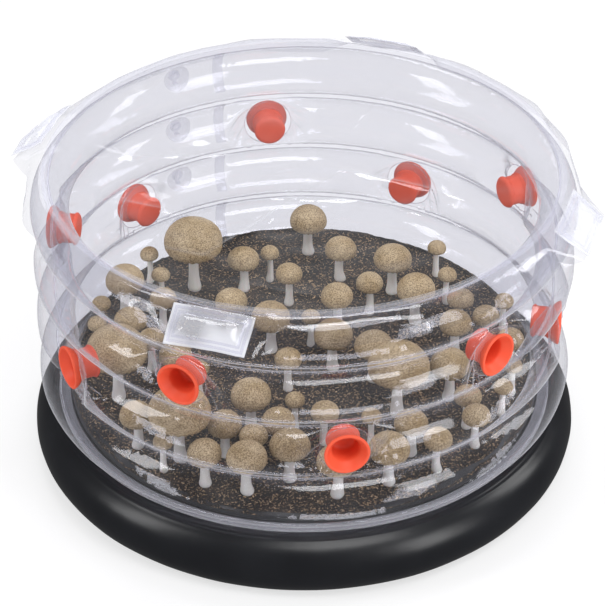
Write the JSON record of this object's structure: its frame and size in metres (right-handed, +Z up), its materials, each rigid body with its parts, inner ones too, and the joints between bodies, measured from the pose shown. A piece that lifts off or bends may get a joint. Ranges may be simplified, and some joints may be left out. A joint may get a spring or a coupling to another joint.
{
  "type": "humidity dome tray",
  "caption": "Round inflatable grow tub with a black base ring, stacked clear air chambers, a slack lid with pull tabs, rubber port plugs, and a bed with mushrooms.",
  "frame": {"origin": "centre of the round footprint, on the surface the tub stands on", "axes": "+Z up, out of the lid; -Y is the front, where two plugs and the front pull tab show"},
  "size_m": [0.641, 0.641, 0.3567],
  "materials": {
    "clear_film": "glossy clear soft film",
    "film_weld": "welded film, slightly milky",
    "valve_pvc": "moulded clear soft plastic",
    "black_pvc": "satin black soft film",
    "black_film": "thin black film",
    "red_silicone": "satin silicone",
    "substrate": "damp coconut fibre and grit",
    "mushroom_cap": "matt, mottled",
    "mushroom_stem": "matt, pale"
  },
  "bodies": {
    "tub": {"base_ring": "black_pvc", "bed_liner": "black_film", "floor_sheet": "black_film", "mushroom_caps_button": "mushroom_cap", "mushroom_caps_giant": "mushroom_cap", "mushroom_caps_large": "mushroom_cap", "mushroom_caps_medium": "mushroom_cap", "mushroom_caps_small": "mushroom_cap", "mushroom_stems_button": "mushroom_stem", "mushroom_stems_giant": "mushroom_stem", "mushroom_stems_large": "mushroom_stem", "mushroom_stems_medium": "mushroom_stem", "mushroom_stems_small": "mushroom_stem", "port_weld_rings": "film_weld", "ring_valve": "black_pvc", "substrate_bed": "substrate", "wall_chamber_1": "clear_film", "wall_chamber_2": "clear_film", "wall_chamber_3": "clear_film", "wall_chamber_4": "clear_film", "wall_foot_weld": "film_weld", "wall_join_strip": "film_weld", "wall_seam_0": "film_weld", "wall_seam_1": "film_weld", "wall_seam_2": "film_weld", "wall_seam_3": "film_weld", "wall_seam_4": "film_weld", "wall_valve_1": "valve_pvc", "wall_valve_2": "valve_pvc", "wall_valve_3": "valve_pvc", "wall_valve_4": "valve_pvc"},
    "lid": {"lid_film": "clear_film", "lid_skirt": "clear_film", "lid_weld_ring": "film_weld", "pull_tab_back": "clear_film", "pull_tab_front": "clear_film", "pull_tab_left": "clear_film", "pull_tab_right": "clear_film", "tab_weld_frames": "film_weld"},
    "port_plug_1": {"port_plug_1": "red_silicone"},
    "port_plug_2": {"port_plug_2": "red_silicone"},
    "port_plug_3": {"port_plug_3": "red_silicone"},
    "port_plug_4": {"port_plug_4": "red_silicone"},
    "port_plug_5": {"port_plug_5": "red_silicone"},
    "port_plug_6": {"port_plug_6": "red_silicone"},
    "port_plug_7": {"port_plug_7": "red_silicone"},
    "port_plug_8": {"port_plug_8": "red_silicone"},
    "port_plug_9": {"port_plug_9": "red_silicone"},
    "port_plug_10": {"port_plug_10": "red_silicone"},
    "wall_valve_cap_1": {"wall_valve_cap_1": "valve_pvc"},
    "wall_valve_cap_2": {"wall_valve_cap_2": "valve_pvc"},
    "wall_valve_cap_3": {"wall_valve_cap_3": "valve_pvc"},
    "wall_valve_cap_4": {"wall_valve_cap_4": "valve_pvc"},
    "ring_valve_cap": {"ring_valve_cap": "black_pvc"}
  },
  "joints": [
    {"name": "lid_lift", "type": "slide", "parent": "tub", "child": "lid", "axis": [0, 0, 1], "range_m": [0, 0.2]},
    {"name": "port_plug_1_pull", "type": "slide", "parent": "tub", "child": "port_plug_1", "axis": [0.1564, -0.9877, 0], "range_m": [0, 0.055]},
    {"name": "port_plug_2_pull", "type": "slide", "parent": "tub", "child": "port_plug_2", "axis": [0.7071, -0.7071, 0], "range_m": [0, 0.055]},
    {"name": "port_plug_3_pull", "type": "slide", "parent": "tub", "child": "port_plug_3", "axis": [0.9877, -0.1564, 0], "range_m": [0, 0.055]},
    {"name": "port_plug_4_pull", "type": "slide", "parent": "tub", "child": "port_plug_4", "axis": [0.891, 0.454, 0], "range_m": [0, 0.055]},
    {"name": "port_plug_5_pull", "type": "slide", "parent": "tub", "child": "port_plug_5", "axis": [0.454, 0.891, 0], "range_m": [0, 0.055]},
    {"name": "port_plug_6_pull", "type": "slide", "parent": "tub", "child": "port_plug_6", "axis": [-0.1564, 0.9877, 0], "range_m": [0, 0.055]},
    {"name": "port_plug_7_pull", "type": "slide", "parent": "tub", "child": "port_plug_7", "axis": [-0.7071, 0.7071, 0], "range_m": [0, 0.055]},
    {"name": "port_plug_8_pull", "type": "slide", "parent": "tub", "child": "port_plug_8", "axis": [-0.9877, 0.1564, 0], "range_m": [0, 0.055]},
    {"name": "port_plug_9_pull", "type": "slide", "parent": "tub", "child": "port_plug_9", "axis": [-0.891, -0.454, 0], "range_m": [0, 0.055]},
    {"name": "port_plug_10_pull", "type": "slide", "parent": "tub", "child": "port_plug_10", "axis": [-0.454, -0.891, 0], "range_m": [0, 0.055]},
    {"name": "wall_valve_cap_1_open", "type": "hinge", "parent": "tub", "child": "wall_valve_cap_1", "pos_m": [-0.1508, 0.26119, 0.3063], "axis": [-0.866, -0.5, 0], "range_deg": [0, 150]},
    {"name": "wall_valve_cap_2_open", "type": "hinge", "parent": "tub", "child": "wall_valve_cap_2", "pos_m": [-0.1508, 0.26119, 0.2383], "axis": [-0.866, -0.5, 0], "range_deg": [0, 150]},
    {"name": "wall_valve_cap_3_open", "type": "hinge", "parent": "tub", "child": "wall_valve_cap_3", "pos_m": [-0.1508, 0.26119, 0.1703], "axis": [-0.866, -0.5, 0], "range_deg": [0, 150]},
    {"name": "wall_valve_cap_4_open", "type": "hinge", "parent": "tub", "child": "wall_valve_cap_4", "pos_m": [-0.1508, 0.26119, 0.1023], "axis": [-0.866, -0.5, 0], "range_deg": [0, 150]},
    {"name": "ring_valve_cap_open", "type": "hinge", "parent": "tub", "child": "ring_valve_cap", "pos_m": [-0.25128, 0.18257, 0.0255], "axis": [-0.5878, -0.809, 0], "range_deg": [0, 150]}
  ]
}
